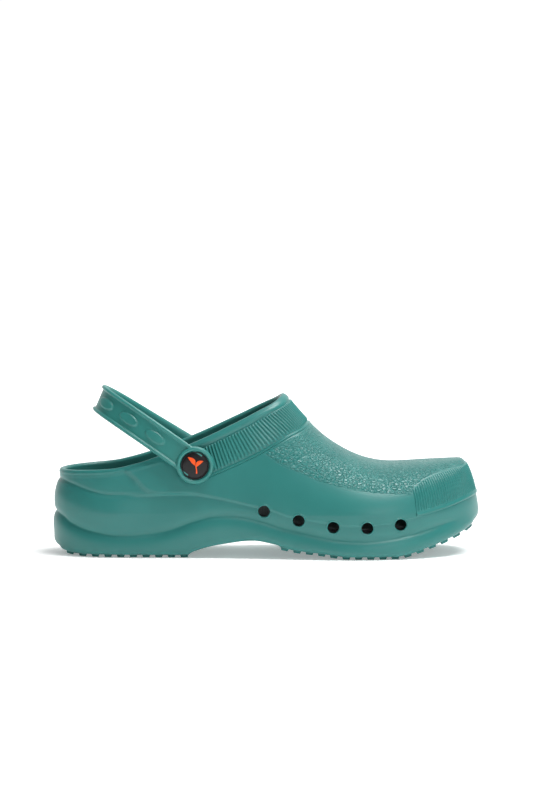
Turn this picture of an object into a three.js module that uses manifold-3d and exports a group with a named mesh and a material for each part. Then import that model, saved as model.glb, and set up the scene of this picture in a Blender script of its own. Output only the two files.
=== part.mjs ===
// A moulded garden clog for the right foot, in millimetres, +Z up and the toe along +X.
// The origin is on the ground under the middle of the shoe. The body is a "last": a height
// over the plan, cut by the collar line, and every wall is worked out on rays from one point.
import * as THREE from 'three';
import { mergeVertices } from 'three/addons/utils/BufferGeometryUtils.js';
import Module from 'manifold-3d';

const wasm = await Module();
wasm.setup();

// driving dimensions
const heelX = -144.4;            // back of the heel
const toeX = 145;                // front of the toe
const wideZ = 30;                // height of the widest line of the shoe
const upperWall = 4.2;           // thickness of the upper
const soleWall = 6.5;            // thickness of the wall beside the insole
const soleRound = 4;             // radius where the sole turns under
const grooveDepth = 1.6;         // groove round the shoe between the sole and the upper
const grooveHalf = 3.2;          // half the groove's height
const floorRound = 4.5;          // radius in the corner between wall and footbed
const gap = 0.3;                 // air left between pieces that touch
const layerGap = 0.45;           // air under each layer of the insole and over the outsoles
const treadDepth = 3.3;          // outsole thickness, lugs included
const padThickness = 1.3;        // outsole thickness between the lugs
const padEdge = 4.6;             // from the shoe's widest outline to the outsole's edge
const heelPitch = 8.6;           // lug spacing along the shoe
const toePitch = 8.25;
const lugLength = 5.4;
const lugMargin = 0.5;           // pad left bare beside the end lugs of a row
const lugChannel = 4;            // between the blocks of one row
const foamThickness = 4.6;
const coverThickness = 1;
const fanX = -60;                // plan point that the rays start from
const columns = 76;              // rays, and so points round each ring
const upperRows = 13;            // rows from the widest line to the collar

const pivotX = -48;              // strap hinge, on an axis along Y
const pivotZ = 63.4;
const strapReach = 77.2;         // hinge axis to the middle of the band at the back
const strapHalf = 41.2;          // shoe's middle to the middle of the band at the hinge
const strapTaper = 1.2;          // 1 is an ellipse; more narrows the loop sooner
const strapSag = 1.8;            // how far the inner arm bows down between its ends
const strapThickness = 4.4;
const strapWidth = 18.6;
const strapSlope = 36;           // degrees that the arms rise at the hinge
const strapDroop = 6;            // degrees by which they flatten towards the back
const strapTwist = 12;           // degrees by which the band stands up at the back
const ringRadius = 12.8;
const headRadius = 9.4;
const shaftRadius = 4;
const seatY = 38.6;              // inner face of the strap's ring
const ringDepth = 5.2;
const ventRadius = 3.65;
const vents = [[-1.4, 32.3], [22.2, 26.4], [45.8, 22], [68.9, 21.2], [91.9, 23.2]];

// A smooth line through a few points, as a function of its first coordinate. It is level at
// a highest or lowest point and beside a flat stretch, so that it never overshoots.
function lineThrough(points) {
  const slope = points.map((point, i) => {
    const before = points[Math.max(i - 1, 0)];
    const after = points[Math.min(i + 1, points.length - 1)];
    const turns = (after[1] - point[1]) * (point[1] - before[1]) <= 0;
    if (turns && after !== point && before !== point) return 0;
    return (after[1] - before[1]) / (after[0] - before[0]);
  });
  return (x) => {
    let i = 0;
    while (i < points.length - 2 && x > points[i + 1][0]) i += 1;
    const span = points[i + 1][0] - points[i][0];
    const t = Math.min(Math.max((x - points[i][0]) / span, 0), 1);
    const rise = points[i + 1][1] - points[i][1];
    const bend = (1 - t) * (slope[i] * span - rise) - t * (slope[i + 1] * span - rise);
    return points[i][1] + rise * t + t * (1 - t) * bend;
  };
}

// 1 along the body and 0 at its end, falling along a superellipse over the given reach.
function roundEnd(x, end, reach, outer, inner) {
  const t = (reach - Math.abs(end - x)) / reach;
  if (t <= 0) return 1;
  return Math.max(1 - t ** outer, 0) ** (1 / inner);
}

const centreLine = lineThrough([[-145, 0], [-20, 0], [60, 1.2], [145, 7]]);
const outerHalf = lineThrough([
  [-145, 36], [-100, 37.6], [-50, 39.4], [-10, 43], [35, 51.8], [68, 55.4], [105, 52], [145, 46],
]);
const innerHalf = lineThrough([
  [-145, 36], [-100, 37.6], [-50, 39.4], [-10, 42], [35, 48.5], [75, 51.4], [110, 50.2], [145, 46],
]);
const crest = lineThrough([
  [-145, 118], [-100, 128], [-60, 131], [-20, 127], [0, 118.5], [13, 108.2], [23.2, 96.6],
  [34.7, 84.3], [44.9, 76.1], [59.2, 67.9], [72.9, 63.3], [87, 61.9], [111, 63], [130, 64],
]);
const collar = lineThrough([
  [-145, 56.4], [-126, 57.2], [-104.4, 58.8], [-92.4, 61.3], [-78, 65.6], [-48, 77],
  [-17.8, 91.2], [-2.1, 99.3], [8, 104.5], [13, 108.2], [40, 130],
]);
const underside = lineThrough([
  [-145, 7.5], [-136, 4.6], [-122, 3.3], [-58, 3.3], [-51, 3.9], [-40, 7.3], [-25, 10.3],
  [-9, 12.1], [10, 9.2], [20, 7.3], [36, 5.6], [52, 3.5], [60, 3.3], [88, 3.3], [98, 5],
  [109, 8.6], [122, 13], [134, 18.4], [145, 25],
]);
const insoleTop = lineThrough([
  [-145, 30.3], [-60, 30], [-20, 30], [10, 26.6], [30, 22.6], [55, 20.4], [80, 20.6], [110, 24],
  [125, 27], [145, 31.5],
]);
const groove = lineThrough([
  [-145, 29.8], [-133, 22.6], [-118, 17.5], [-96, 14.7], [-75, 16.2], [-50, 24], [-25, 28.2],
  [0, 24.2], [25, 17.6], [48, 13.2], [67, 12.2], [90, 14.6], [110, 19], [145, 29],
]);
const footbed = (x) => insoleTop(x) - foamThickness - coverThickness - 2 * layerGap;

// Half the width of the plan on the side that y lies on.
function halfWidth(x, y) {
  if (x <= heelX || x >= toeX) return 0;
  const heel = roundEnd(x, heelX, 46, 2.1, 2.1);
  if (y < centreLine(x)) return outerHalf(x) * heel * roundEnd(x, toeX, 82, 2.6, 2.2);
  return innerHalf(x) * heel * roundEnd(x, toeX, 60, 2.6, 2.2);
}

// Height of the last over the plan: a superellipse arch from side to side at each station.
function lastHeight(x, y) {
  const width = halfWidth(x, y);
  if (width <= 0) return wideZ;
  const across = Math.min(Math.abs(y - centreLine(x)) / width, 1);
  const ends = roundEnd(x, heelX, 30, 2, 1.2) * roundEnd(x, toeX, 13, 2, 1.2);
  const box = THREE.MathUtils.smoothstep(x, 20, 120);
  const arch = (1 - across ** (2.2 + 0.8 * box)) ** (1 / (1.35 + 0.45 * box));
  return wideZ + (crest(x) - wideZ) * ends * arch;
}

// How far out along a ray a falling function of the plan point reaches zero.
function reachAlong(angle, falling, far) {
  let near = 0;
  for (let step = 0; step < 40; step += 1) {
    const middle = (near + far) / 2;
    const x = fanX + middle * Math.cos(angle);
    if (falling(x, middle * Math.sin(angle)) > 0) near = middle;
    else far = middle;
  }
  return near;
}
const insidePlan = (x, y) => halfWidth(x, y) - Math.abs(y - centreLine(x));
const belowCollar = (x, y) => lastHeight(x, y) - collar(x);

// Ray angles that put the columns evenly along the plan's outline.
function columnAngles(count) {
  const fine = 2000;
  const lengths = [0];
  let last = null;
  for (let i = 0; i <= fine; i += 1) {
    const angle = (2 * Math.PI * i) / fine;
    const reach = reachAlong(angle, insidePlan, 240);
    const point = new THREE.Vector2(reach * Math.cos(angle), reach * Math.sin(angle));
    if (last) lengths.push(lengths[i - 1] + point.distanceTo(last));
    last = point;
  }
  const angles = [];
  let i = 0;
  for (let column = 0; column < count; column += 1) {
    const wanted = (lengths[fine] * column) / count;
    while (lengths[i + 1] < wanted) i += 1;
    const part = (wanted - lengths[i]) / (lengths[i + 1] - lengths[i]);
    angles.push((2 * Math.PI * (i + part)) / fine);
  }
  return angles;
}
const angles = columnAngles(columns);
const planReach = angles.map((angle) => reachAlong(angle, insidePlan, 240));
const collarReach = angles.map((angle, i) => reachAlong(angle, belowCollar, planReach[i]));

// Rows of one column of the upper's outside, from the widest line to the collar. They lie
// closest together where the wall turns over.
function upperColumn(i, rows) {
  const fine = 120;
  const samples = [];
  const lengths = [0];
  for (let step = 0; step <= fine; step += 1) {
    const reach = planReach[i] + (collarReach[i] - planReach[i]) * (step / fine) ** 2;
    const x = fanX + reach * Math.cos(angles[i]);
    const y = reach * Math.sin(angles[i]);
    samples.push(new THREE.Vector3(x, y, lastHeight(x, y)));
    if (step > 0) lengths.push(lengths[step - 1] + samples[step].distanceTo(samples[step - 1]));
  }
  const column = [];
  let step = 0;
  for (let row = 0; row <= rows; row += 1) {
    const t = row / rows;
    const wanted = lengths[fine] * (0.35 * t + 0.65 * t * t);
    while (step < fine - 1 && lengths[step + 1] < wanted) step += 1;
    const part = (wanted - lengths[step]) / (lengths[step + 1] - lengths[step]);
    column.push(samples[step].clone().lerp(samples[step + 1], part));
  }
  return column;
}

// Outward normals of a grid of columns that closes round the shoe.
function gridNormals(grid) {
  const count = grid.length;
  return grid.map((column, i) => column.map((point, row) => {
    const along = grid[(i + 1) % count][row].clone().sub(grid[(i + count - 1) % count][row]);
    const below = column[Math.max(row - 1, 0)];
    const above = column[Math.min(row + 1, column.length - 1)];
    return along.cross(above.clone().sub(below)).normalize();
  }));
}

// A closed skin from rings of points: each ring goes round once, and both ends shut on a pole.
function closeRings(rings, firstPole, lastPole) {
  const count = rings[0].length;
  const points = [firstPole, ...rings.flat(), lastPole];
  const index = [];
  const at = (ring, i) => 1 + ring * count + (i % count);
  for (let i = 0; i < count; i += 1) {
    index.push(0, at(0, i + 1), at(0, i));
    for (let ring = 0; ring < rings.length - 1; ring += 1) {
      index.push(at(ring, i), at(ring, i + 1), at(ring + 1, i + 1));
      index.push(at(ring, i), at(ring + 1, i + 1), at(ring + 1, i));
    }
    index.push(points.length - 1, at(rings.length - 1, i), at(rings.length - 1, i + 1));
  }
  const geometry = new THREE.BufferGeometry().setFromPoints(points);
  geometry.setIndex(index);
  return geometry;
}

// manifold-3d joins and cuts; these two turn a geometry into its solid and back.
function solidOf(geometry) {
  const plain = geometry.clone();
  plain.deleteAttribute('normal');
  plain.deleteAttribute('uv');
  const merged = mergeVertices(plain, 1e-4);
  const vertProperties = Float32Array.from(merged.attributes.position.array);
  const triVerts = Uint32Array.from(merged.index.array);
  return new wasm.Manifold(new wasm.Mesh({ numProp: 3, vertProperties, triVerts }));
}
function geometryOf(solid) {
  const mesh = solid.getMesh();
  const geometry = new THREE.BufferGeometry();
  geometry.setAttribute('position', new THREE.BufferAttribute(mesh.vertProperties, 3));
  geometry.setIndex(new THREE.BufferAttribute(mesh.triVerts, 1));
  return geometry;
}

const group = new THREE.Group();
function addPiece(name, geometry, color, roughness) {
  const material = new THREE.MeshStandardMaterial({ color, roughness, metalness: 0 });
  const mesh = new THREE.Mesh(geometry, material);
  mesh.name = name;
  group.add(mesh);
}

const upper = angles.map((angle, i) => upperColumn(i, upperRows));
const upperNormals = gridNormals(upper);
const outline = upper.map((column) => column[0]);
const planNormals = outline.map((point, i) => {
  const next = outline[(i + 1) % columns];
  const before = outline[(i + columns - 1) % columns];
  return new THREE.Vector3(next.y - before.y, before.x - next.x, 0).normalize();
});
// The plan outline moved inwards by a distance, at the heights that a function of x gives.
function ringInside(inset, height) {
  return outline.map((point, i) => {
    const moved = point.clone().addScaledVector(planNormals[i], -inset);
    moved.z = height(moved.x);
    return moved;
  });
}
// A ring shrunk towards the point that the rays start from.
function ringTowardsPole(ring, part, height) {
  return ring.map((point) => {
    const x = fanX + (point.x - fanX) * part;
    return new THREE.Vector3(x, point.y * part, height(x));
  });
}
const grooveIn = (x, z) => grooveDepth * Math.exp(-(((z - groove(x)) / grooveHalf) ** 2));

const underRings = [0.1, 0.2, 0.3, 0.38, 0.46, 0.54, 0.62, 0.7, 0.77, 0.83, 0.89, 0.95];
const bedRings = [0.16, 0.32, 0.48, 0.64, 0.82];
const bedEdge = ringInside(soleWall + floorRound, footbed);

// The one-piece moulding: midsole, upper and collar, open at the top and pierced by the vents.
function shellGeometry() {
  const rings = [];
  const edge = ringInside(soleRound, underside);
  rings.push(...underRings.map((part) => ringTowardsPole(edge, part, underside)));
  for (let turn = 0; turn <= 3; turn += 1) {
    const angle = (Math.PI / 6) * turn;
    const inset = soleRound * (1 - Math.sin(angle));
    const rise = soleRound * (1 - Math.cos(angle));
    rings.push(ringInside(inset, (x) => underside(x) + rise));
  }
  for (const part of [0.3, 0.65]) {
    rings.push(ringInside(0, (x) => {
      const low = underside(x) + soleRound;
      return low + (wideZ - low) * part;
    }));
  }
  for (let row = 0; row <= upperRows; row += 1) {
    rings.push(upper.map((column) => column[row].clone()));
  }
  for (const ring of rings.slice(underRings.length + 1)) {
    ring.forEach((point, i) => {
      point.addScaledVector(planNormals[i], -grooveIn(point.x, point.z));
    });
  }
  const thickness = (row) => upperWall + (soleWall - upperWall) * Math.max(1 - row / 4, 0);
  const innerRing = (row, part) => upper.map((column, i) => {
    return column[row].clone().addScaledVector(upperNormals[i][row], -thickness(row) * part);
  });
  const lip = innerRing(upperRows, 0.5);
  lip.forEach((point) => point.setZ(point.z + upperWall * 0.35));
  rings.push(lip);
  for (let row = upperRows; row >= 1; row -= 1) rings.push(innerRing(row, 1));
  for (let turn = 0; turn <= 2; turn += 1) {
    const angle = (Math.PI / 4) * turn;
    const inset = soleWall + floorRound * (1 - Math.cos(angle));
    const rise = floorRound * (1 - Math.sin(angle));
    rings.push(ringInside(inset, (x) => footbed(x) + rise));
  }
  rings.push(...bedRings.toReversed().map((part) => ringTowardsPole(bedEdge, part, footbed)));
  const bottomPole = new THREE.Vector3(fanX, 0, underside(fanX));
  const floorPole = new THREE.Vector3(fanX, 0, footbed(fanX));
  return closeRings(rings, bottomPole, floorPole);
}

// A round bar along Y at a place in the side view, between two distances from the middle.
function crossBar(radius, x, z, side, from, to, sides) {
  const bar = new THREE.CylinderGeometry(radius, radius, to - from, sides);
  return solidOf(bar.translate(x, (side * (from + to)) / 2, z));
}
const sidesOfShoe = [['right', -1], ['left', 1]];

let shell = solidOf(shellGeometry());
for (const [, side] of sidesOfShoe) {
  for (const [x, z] of vents) {
    shell = shell.subtract(crossBar(ventRadius, x, z, side, 34, 70, 16));
  }
  shell = shell.subtract(crossBar(shaftRadius + gap, pivotX, pivotZ, side, 28, 60, 20));
}
addPiece('clog_shell', geometryOf(shell), 0x3b8a83, 0.5);

// The removable insole: a foam bed with a turned-in lower edge, and its textile cover.
function insoleLayer(insets, heights, bottom) {
  const edges = insets.map((inset, i) => ringInside(inset, (x) => footbed(x) + heights[i]));
  const low = (x) => footbed(x) + bottom;
  const high = (x) => footbed(x) + heights[heights.length - 1];
  const rings = [
    ...bedRings.map((part) => ringTowardsPole(bedEdge, part, low)),
    ...edges,
    ...bedRings.toReversed().map((part) => ringTowardsPole(bedEdge, part, high)),
  ];
  const lowPole = new THREE.Vector3(fanX, 0, low(fanX));
  return closeRings(rings, lowPole, new THREE.Vector3(fanX, 0, high(fanX)));
}
const insoleEdge = soleWall + 1.3;
const foamTop = layerGap + foamThickness;
const foamInsets = [insoleEdge + 4.2, insoleEdge + 0.8, insoleEdge];
const foam = insoleLayer(foamInsets, [0.9, 2.8, foamTop], layerGap);
addPiece('insole_foam', foam, 0x2a2b2e, 0.9);
const coverLow = foamTop + layerGap;
const coverTop = coverLow + coverThickness;
const cover = insoleLayer([insoleEdge, insoleEdge], [coverLow, coverTop], coverLow);
addPiece('insole_cover', cover, 0x1f2023, 0.95);

// Where the line across the shoe at x crosses a ring: the lowest and the highest y.
function crossingsAt(ring, x) {
  const ys = [];
  ring.forEach((point, i) => {
    const next = ring[(i + 1) % ring.length];
    if ((point.x - x) * (next.x - x) > 0) return;
    ys.push(point.y + ((next.y - point.y) * (x - point.x)) / (next.x - point.x));
  });
  return [Math.min(...ys), Math.max(...ys)];
}

// A rubber outsole pad between two stations: a thin plate that follows the sole's underside,
// with rows of lugs in four blocks across.
function outsoleGeometry(stations, rows) {
  const edge = ringInside(padEdge, underside);
  const rings = stations.map((x) => {
    const [right, left] = crossingsAt(edge, x);
    const top = underside(x) - layerGap;
    const ring = [];
    for (const part of [1, 0.67, 0.33, 0]) {
      ring.push(new THREE.Vector3(x, right + (left - right) * part, top));
    }
    for (const part of [0, 0.33, 0.67, 1]) {
      ring.push(new THREE.Vector3(x, right + (left - right) * part, top - padThickness));
    }
    return ring;
  });
  const middle = (ring) => ring[0].clone().lerp(ring[3], 0.5).setZ(ring[0].z - padThickness / 2);
  let pad = solidOf(closeRings(rings, middle(rings[0]), middle(rings[rings.length - 1])));
  const height = treadDepth - layerGap - 0.3;
  for (const x of rows) {
    const ends = [x - lugLength / 2, x + lugLength / 2].map((end) => crossingsAt(edge, end));
    const right = Math.max(ends[0][0], ends[1][0]) + lugMargin;
    const left = Math.min(ends[0][1], ends[1][1]) - lugMargin;
    const block = (left - right - 3 * lugChannel) / 4;
    const slope = Math.atan(underside(x + 1) - underside(x - 1)) / 2;
    const reach = treadDepth * Math.cos(slope) + (lugLength / 2) * Math.abs(Math.sin(slope));
    const lift = Math.max(reach - underside(x), 0);
    for (let i = 0; i < 4; i += 1) {
      const lug = new THREE.BoxGeometry(lugLength, block, height);
      lug.translate(0, right + block / 2 + i * (block + lugChannel), height / 2 - treadDepth);
      lug.rotateY(-slope);
      pad = pad.add(solidOf(lug.translate(x, 0, underside(x) + lift)));
    }
  }
  return geometryOf(pad);
}
const lugRows = (first, count, pitch) => Array.from({ length: count }, (_, i) => first + i * pitch);
const heelStations = [-138.4, -137, -134.5, -129, -121, -100, -75, -58, -52.2];
const heelRows = lugRows(-132.8, 10, heelPitch);
const toeStations = [10, 20, 36, 52, 60, 88, 93, 98, 103, 109, 115, 122, 128, 134, 137, 139];
const toeRows = lugRows(13, 16, toePitch);
addPiece('heel_outsole', outsoleGeometry(heelStations, heelRows), 0x2c7a74, 0.6);
addPiece('forefoot_outsole', outsoleGeometry(toeStations, toeRows), 0x2c7a74, 0.6);

// The heel strap: a band that runs from one hinge round the back to the other.
function strapBand() {
  const steps = 26;
  const half = steps / 2;
  const path = [];
  for (let i = -half; i <= half; i += 1) {
    const turn = (Math.PI / 2) * (i / half);
    const out = strapReach * Math.abs(Math.cos(turn)) ** strapTaper;
    const rise = THREE.MathUtils.degToRad(strapSlope - (strapDroop / 2) * (out / strapReach));
    const y = -strapHalf * Math.sin(turn);
    const x = pivotX - out * Math.cos(rise);
    const sag = y > 0 ? strapSag * Math.sin((Math.PI * out) / strapReach) : 0;
    path.push(new THREE.Vector3(x, y, pivotZ + out * Math.sin(rise) - sag));
  }
  const rings = path.map((point, i) => {
    const before = path[Math.max(i - 1, 0)];
    const after = path[Math.min(i + 1, steps)];
    const along = after.clone().sub(before).normalize();
    const back = (pivotX - point.x) / strapReach;
    const lean = THREE.MathUtils.degToRad(strapSlope - (strapDroop + strapTwist) * back ** 2);
    const up = new THREE.Vector3(Math.sin(lean), 0, Math.cos(lean));
    up.addScaledVector(along, -up.dot(along)).normalize();
    const out = along.clone().cross(up);
    const wide = strapWidth / 2;
    const thick = strapThickness / 2;
    const cut = 1;
    const section = [
      [cut - wide, thick], [-wide, thick - cut], [-wide, cut - thick], [cut - wide, -thick],
      [wide - cut, -thick], [wide, cut - thick], [wide, thick - cut], [wide - cut, thick],
    ];
    return section.map(([a, b]) => point.clone().addScaledVector(up, a).addScaledVector(out, b));
  });
  return closeRings(rings, path[0], path[steps]);
}
let strap = solidOf(strapBand());
const ringTop = seatY + ringDepth;
const recessY = ringTop - 2.1;
for (const [, side] of sidesOfShoe) {
  strap = strap.add(crossBar(ringRadius, pivotX, pivotZ, side, seatY, ringTop, 40));
}
for (const [, side] of sidesOfShoe) {
  const recess = headRadius + gap;
  strap = strap.subtract(crossBar(recess, pivotX, pivotZ, side, recessY, ringTop + 5, 36));
  strap = strap.subtract(crossBar(shaftRadius + gap, pivotX, pivotZ, side, 30, 60, 20));
}
addPiece('heel_strap', geometryOf(strap), 0x3b827a, 0.45);

// The two rivets: an outer half with its shaft, an inner cap pressed on it, and a badge.
const headLow = recessY + gap;
const capLow = 26.2;
const shaftEnd = capLow + 1.5;
const rivetProfile = [
  [0, shaftEnd], [shaftRadius, shaftEnd], [shaftRadius, headLow], [headRadius, headLow],
  [headRadius, headLow + 1.5], [headRadius - 0.6, headLow + 1.5], [headRadius - 0.6, headLow + 1],
  [0, headLow + 1],
];
const badgeProfile = [
  [0, headLow + 1.2], [headRadius - 0.9, headLow + 1.2], [headRadius - 0.9, headLow + 1.5],
  [headRadius - 2.5, headLow + 1.75], [0, headLow + 1.85],
];
const capProfile = [
  [0, capLow], [5.4, capLow], [7.2, capLow + 0.8], [7.2, capLow + 2.8],
  [shaftRadius + gap, capLow + 2.8], [shaftRadius + gap, shaftEnd - gap], [0, shaftEnd - gap],
];
function turned(profile, side, sides) {
  const points = profile.map(([radius, y]) => new THREE.Vector2(radius, y));
  const geometry = new THREE.LatheGeometry(points, sides);
  geometry.deleteAttribute('normal');
  geometry.deleteAttribute('uv');
  const closed = mergeVertices(geometry, 1e-4);
  if (side < 0) closed.rotateZ(Math.PI);
  return closed.translate(pivotX, 0, pivotZ);
}
for (const [name, side] of sidesOfShoe) {
  addPiece(`rivet_post_${name}`, turned(rivetProfile, side, 32), 0x141416, 0.3);
  addPiece(`rivet_cap_${name}`, turned(capProfile, side, 28), 0x141416, 0.4);
  addPiece(`rivet_badge_${name}`, turned(badgeProfile, side, 32), 0x141416, 0.15);
}

export default group;
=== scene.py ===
import math
import bmesh
import bpy
import numpy as np
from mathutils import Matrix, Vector


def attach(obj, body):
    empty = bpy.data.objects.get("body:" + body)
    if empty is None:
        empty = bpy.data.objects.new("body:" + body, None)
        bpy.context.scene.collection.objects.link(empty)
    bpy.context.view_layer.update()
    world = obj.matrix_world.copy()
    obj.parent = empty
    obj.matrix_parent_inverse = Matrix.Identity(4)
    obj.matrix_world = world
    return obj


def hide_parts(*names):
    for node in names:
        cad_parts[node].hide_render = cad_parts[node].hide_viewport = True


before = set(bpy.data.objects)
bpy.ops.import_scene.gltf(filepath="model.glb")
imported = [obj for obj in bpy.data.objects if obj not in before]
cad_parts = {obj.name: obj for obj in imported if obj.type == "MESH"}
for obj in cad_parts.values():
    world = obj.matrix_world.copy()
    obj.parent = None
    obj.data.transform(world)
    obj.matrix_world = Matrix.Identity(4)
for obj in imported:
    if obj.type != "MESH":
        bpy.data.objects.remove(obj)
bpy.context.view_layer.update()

mm = 0.001                          # every shape below is worked out in millimetres

# The last is the shape that the whole shoe is drawn over.
last = dict(
    heelX=-144.4,                   # back of the heel
    toeX=145.0,                     # front of the toe
    wideZ=30.0,                     # height of the widest line
    fanX=-60.0,                     # plan point that the columns fan out from
    upperWall=4.2,
    soleWall=6.5,
    soleRound=2.6,                  # radius where the sole turns under
    floorRound=4.5,                 # radius between wall and footbed
    insoleThickness=6.5,
)


def lineThrough(points):
    # Hermite curve through the points, level at turning points so it never overshoots.
    p = np.array(points, float)
    x, y = p[:, 0], p[:, 1]
    slope = np.empty(len(x))
    slope[0] = (y[1] - y[0]) / (x[1] - x[0])
    slope[-1] = (y[-1] - y[-2]) / (x[-1] - x[-2])
    slope[1:-1] = (y[2:] - y[:-2]) / (x[2:] - x[:-2])
    turns = (y[2:] - y[1:-1]) * (y[1:-1] - y[:-2]) <= 0
    slope[1:-1][turns] = 0

    def curve(at):
        at = np.asarray(at, float)
        i = np.clip(np.searchsorted(x, at, side="right") - 1, 0, len(x) - 2)
        span = x[i + 1] - x[i]
        t = np.clip((at - x[i]) / span, 0, 1)
        rise = y[i + 1] - y[i]
        bend = (1 - t) * (slope[i] * span - rise) - t * (slope[i + 1] * span - rise)
        return y[i] + rise * t + t * (1 - t) * bend

    return curve


def smooth(low, high, at):
    # 0 below low, 1 above high, and an S-curve between.
    t = np.clip((np.asarray(at, float) - low) / (high - low), 0, 1)
    return t * t * (3 - 2 * t)


def bump(at, half):
    # A bell of height 1 that is gone a little beyond half.
    return np.exp(-(np.asarray(at, float) / half) ** 2)


centreLine = lineThrough([(-145, 0), (-20, 0), (60, 1.2), (145, 7)])
outerHalf = lineThrough([
    (-145, 36), (-100, 37.6), (-50, 39.4), (-10, 43), (35, 51.8), (68, 55.4), (105, 52), (145, 46)])
innerHalf = lineThrough([
    (-145, 36), (-100, 37.6), (-50, 39.4), (-10, 42), (35, 48.5), (75, 51.4), (110, 50.2), (145, 46)])
crest = lineThrough([
    (-145, 118), (-100, 128), (-60, 131), (-20, 127), (0, 118.5), (13, 108.2), (23.2, 96.6),
    (34.7, 84.3), (44.9, 76.1), (59.2, 67.9), (72.9, 63.3), (87, 61.9), (111, 63), (130, 64)])
collarLine = lineThrough([
    (-145, 56.4), (-126, 57.2), (-104.4, 58.8), (-92.4, 61.3), (-78, 65.6), (-48, 77),
    (-17.8, 91.2), (-2.1, 99.3), (8, 104.5), (13, 108.2), (40, 130)])
underside = lineThrough([
    (-145, 7.5), (-136, 4.6), (-122, 3.3), (-58, 3.3), (-51, 3.9), (-40, 7.3), (-25, 10.3),
    (-9, 12.1), (10, 9.2), (20, 7.3), (36, 5.6), (52, 3.5), (60, 3.3), (88, 3.3), (98, 5),
    (109, 8.6), (122, 13), (134, 18.4), (145, 25)])
insoleTop = lineThrough([
    (-145, 30.3), (-60, 30), (-20, 30), (10, 26.6), (30, 22.6), (55, 20.4), (80, 20.6),
    (110, 24), (125, 27), (145, 31.5)])
lowGroove = lineThrough([           # crease between the sole's roll and the wall above it
    (-145, 29.8), (-139, 26.8), (-133, 22.6), (-118, 17.5), (-96, 14.7), (-75, 16.2), (-62, 19.4),
    (-50, 24), (-37, 27.4), (-25, 28.2), (-7, 25.8), (10, 20.8), (27, 17.1), (48, 13.2),
    (67, 12.2), (86, 14), (98, 16.3), (110, 19.4), (122, 23), (145, 29)])
highGroove = lineThrough([          # lower edge of the quarter, then of the whole upper
    (-145, 51.8), (-139, 51.4), (-131, 48.8), (-119, 45), (-108, 42.8), (-92, 42.7), (-74, 43.6),
    (-56, 44.2), (-45, 43.5), (-31, 41.3), (-16, 38), (4, 33.5), (17, 29.3), (29, 27.6),
    (50, 24.6), (66, 23.8), (76, 24.6), (88, 26.3), (100, 28.6), (145, 36)])
patchEdge = lineThrough([           # x of the raised quarter's rear edge, from its height
    (40, -60), (43.6, -73), (45.4, -79.7), (48.5, -83.8), (52.2, -87), (55.2, -90.1),
    (58.5, -94), (70, -104)])


def footbed(x):
    # The footbed lies the insole's thickness under the insole's top.
    return insoleTop(x) - last["insoleThickness"]


def roundEnd(x, end, reach, outer, inner):
    # 1 along the body and 0 at its end, falling along a superellipse over the reach.
    t = np.clip((reach - np.abs(end - x)) / reach, 0, 1)
    return np.clip(1 - t ** outer, 0, 1) ** (1 / inner)


def halfWidth(x, y):
    # Half the plan's width on y's side: a smooth width times its round heel and toe.
    heel = roundEnd(x, last["heelX"], 46, 2.1, 2.1)
    outer = outerHalf(x) * roundEnd(x, last["toeX"], 82, 2.6, 2.2)
    inner = innerHalf(x) * roundEnd(x, last["toeX"], 60, 2.6, 2.2)
    width = heel * np.where(y < centreLine(x), outer, inner)
    return np.where((x > last["heelX"]) & (x < last["toeX"]), width, 0)


def lastHeight(x, y):
    # A superellipse arch from side to side at each station, boxier towards the toe.
    width = halfWidth(x, y)
    across = np.clip(np.abs(y - centreLine(x)) / np.maximum(width, 1e-9), 0, 1)
    ends = roundEnd(x, last["heelX"], 30, 2, 1.2) * roundEnd(x, last["toeX"], 13, 2, 1.2)
    box = smooth(20, 120, x)
    arch = (1 - across ** (2.2 + 0.8 * box)) ** (1 / (1.35 + 0.45 * box))
    height = last["wideZ"] + (crest(x) - last["wideZ"]) * ends * arch
    return np.where(width > 0, height, last["wideZ"])


def reachAlong(angle, falling, far):
    # Bisection: how far out along each ray a falling function of the plan reaches zero.
    near = np.zeros_like(angle)
    far = np.broadcast_to(far, angle.shape).astype(float)
    for step in range(44):
        middle = (near + far) / 2
        inside = falling(last["fanX"] + middle * np.cos(angle), middle * np.sin(angle)) > 0
        near, far = np.where(inside, middle, near), np.where(inside, far, middle)
    return near


def insidePlan(x, y):
    # Half width less the distance from the centre line: above 0 inside the plan.
    return halfWidth(x, y) - np.abs(y - centreLine(x))


def belowCollar(x, y):
    # Height of the last over the collar line: it falls to 0 at the rim.
    return lastHeight(x, y) - collarLine(x)


def wallPaths(angle, fine=700):
    # For each ray, the upper's outside from the widest line to the collar: points and the
    # distance walked from the widest line. Steps are shortest where the wall is steep.
    plan = reachAlong(angle, insidePlan, 240)
    rim = reachAlong(angle, belowCollar, plan)
    t = np.linspace(0, 1, fine)[None, :]
    reach = plan[:, None] + (rim - plan)[:, None] * t ** 2
    x = last["fanX"] + reach * np.cos(angle)[:, None]
    y = reach * np.sin(angle)[:, None]
    path = np.stack([x, y, lastHeight(x, y)], axis=-1)
    steps = np.linalg.norm(np.diff(path, axis=1), axis=-1)
    walked = np.concatenate([np.zeros((len(angle), 1)), np.cumsum(steps, axis=1)], axis=1)
    return path, walked


def alongPaths(path, walked, wanted):
    # The points at the wanted distances along each path.
    rows = np.arange(len(path))[:, None]
    i = np.stack([np.searchsorted(w, d, side="right") for w, d in zip(walked, wanted)]) - 1
    i = np.clip(i, 0, walked.shape[1] - 2)
    low, high = walked[rows, i], walked[rows, i + 1]
    part = np.clip((wanted - low) / np.maximum(high - low, 1e-9), 0, 1)[..., None]
    return path[rows, i] * (1 - part) + path[rows, i + 1] * part


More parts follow.
